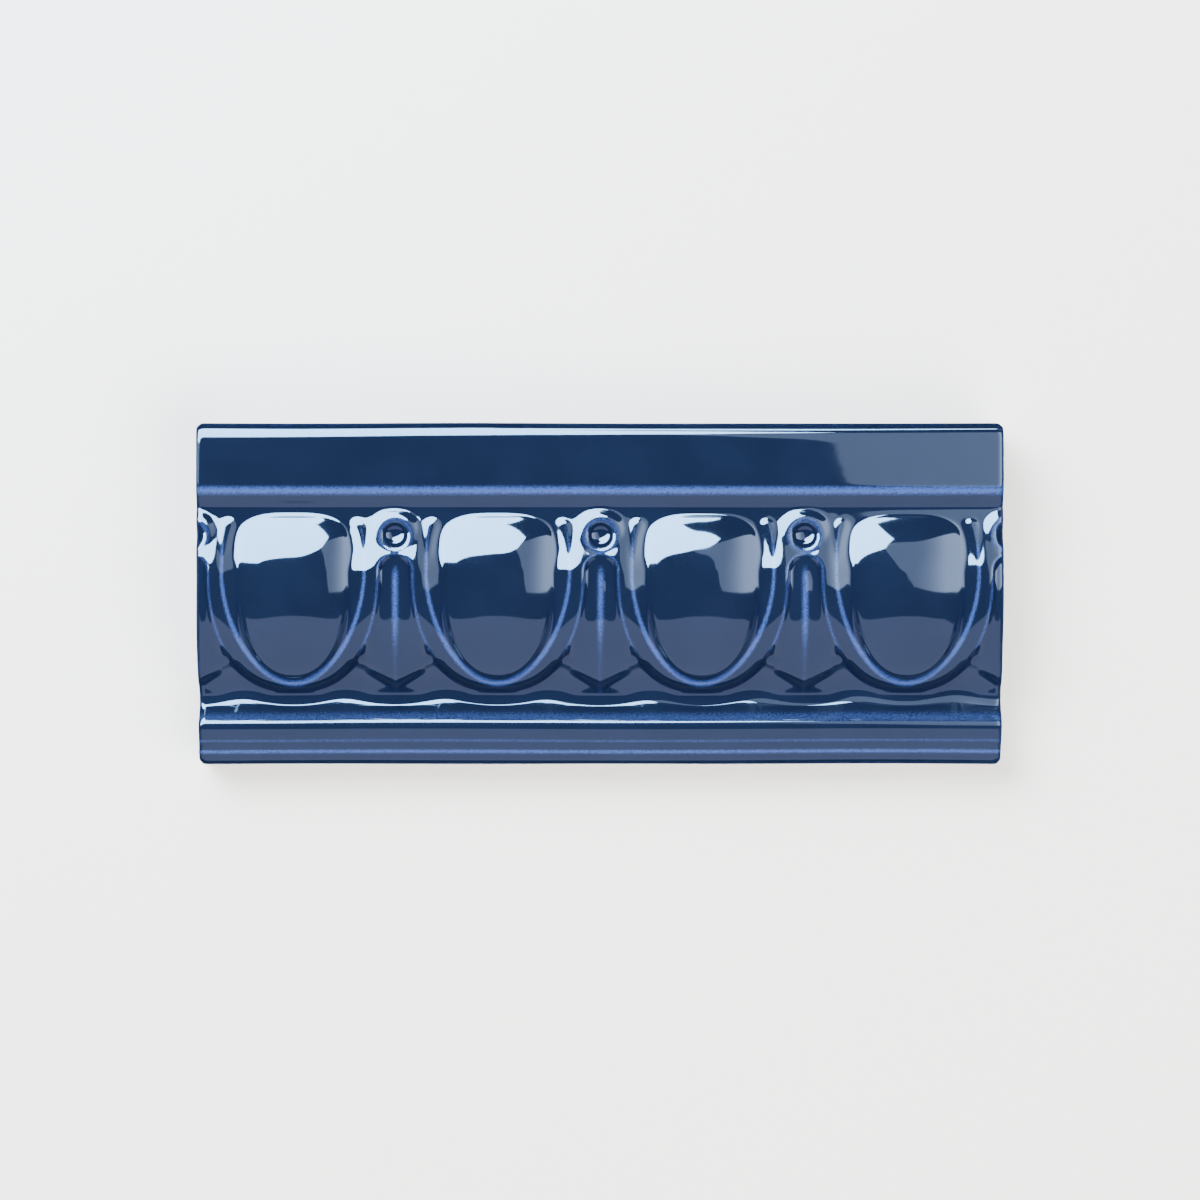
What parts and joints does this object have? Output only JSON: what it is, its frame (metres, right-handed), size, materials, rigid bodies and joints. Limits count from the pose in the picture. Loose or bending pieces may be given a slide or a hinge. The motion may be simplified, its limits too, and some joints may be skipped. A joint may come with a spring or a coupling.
{
  "type": "relief glazed tile",
  "caption": "Pressed and glazed egg-and-dart moulding tile with a plain upper band, stepped lower mouldings and a flat keyed back.",
  "frame": {"origin": "middle of the flat back, which lies on the surface", "axes": "+X along the length, +Y across the face towards the plain band, +Z out of the relief face"},
  "size_m": [0.152, 0.0644, 0.023],
  "materials": {
    "blue_glaze": "deep blue gloss glaze, paler where it runs thin over the arrises, over a bare cream clay back"
  },
  "bodies": {
    "root": {"moulded_tile": "blue_glaze"}
  },
  "joints": []
}
